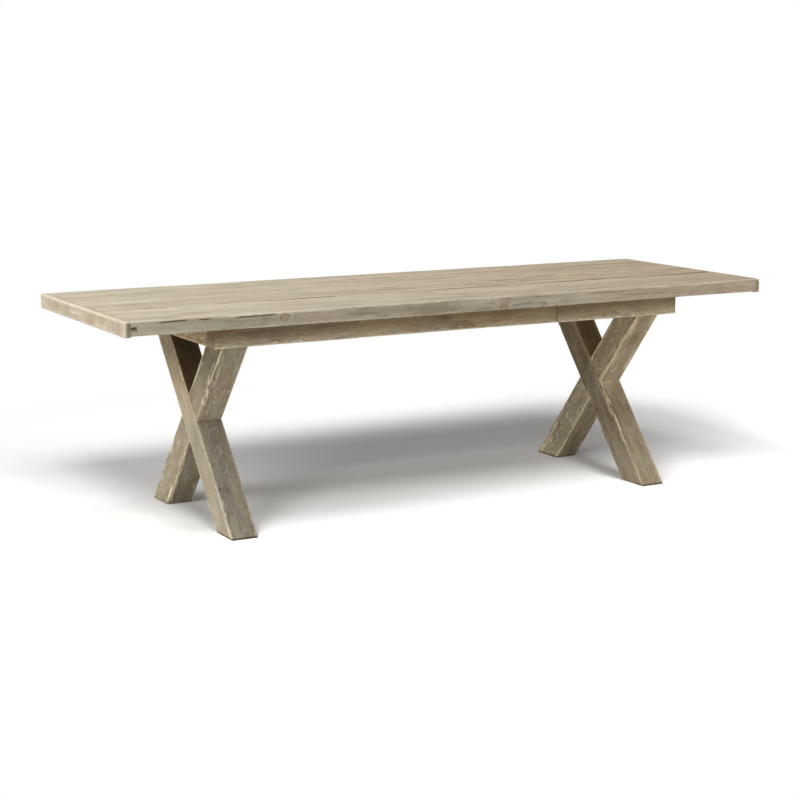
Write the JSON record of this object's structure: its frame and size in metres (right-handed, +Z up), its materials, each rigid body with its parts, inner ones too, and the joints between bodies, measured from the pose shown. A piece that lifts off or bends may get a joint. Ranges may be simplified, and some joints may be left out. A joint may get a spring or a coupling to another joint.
{
  "type": "sawbuck table",
  "caption": "Long sawbuck dining table: weathered plank top with end battens over a boxed apron frame, carried by half-lapped crossed-leg trestles.",
  "frame": {"origin": "on the floor below the middle of the tabletop", "axes": "+X along the table's length, +Y across it towards the back, +Z up"},
  "size_m": [2.51, 0.85, 0.76],
  "materials": {
    "top_wood": "weathered pale greige softwood, matt, worn arrises",
    "base_wood": "weathered grey-brown softwood, matt, cream worn arrises",
    "dowel_wood": "plain turned beech, uncoated",
    "zinc_steel": "dull zinc plate"
  },
  "bodies": {
    "root": {"bearer_back_left": "base_wood", "bearer_back_right": "base_wood", "bearer_front_left": "base_wood", "bearer_front_right": "base_wood", "bracket_screws": "zinc_steel", "centre_rail_back": "base_wood", "centre_rail_front": "base_wood", "centre_rail_pegs": "dowel_wood", "coach_screws": "zinc_steel", "coach_washers": "zinc_steel", "cross_batten_1": "base_wood", "cross_batten_2": "base_wood", "cross_batten_3": "base_wood", "cross_batten_dowels": "dowel_wood", "cross_batten_screws": "zinc_steel", "end_batten_left": "top_wood", "end_batten_pegs": "dowel_wood", "end_batten_right": "top_wood", "end_rail_dowels": "dowel_wood", "end_rail_left": "base_wood", "end_rail_right": "base_wood", "lap_dowels": "dowel_wood", "leg_left_back_foot": "base_wood", "leg_left_front_foot": "base_wood", "leg_right_back_foot": "base_wood", "leg_right_front_foot": "base_wood", "plank_dowels": "dowel_wood", "top_brackets": "zinc_steel", "top_plank_1": "top_wood", "top_plank_2": "top_wood", "top_plank_3": "top_wood", "top_plank_4": "top_wood", "top_plank_5": "top_wood", "top_plank_6": "top_wood"}
  },
  "joints": []
}
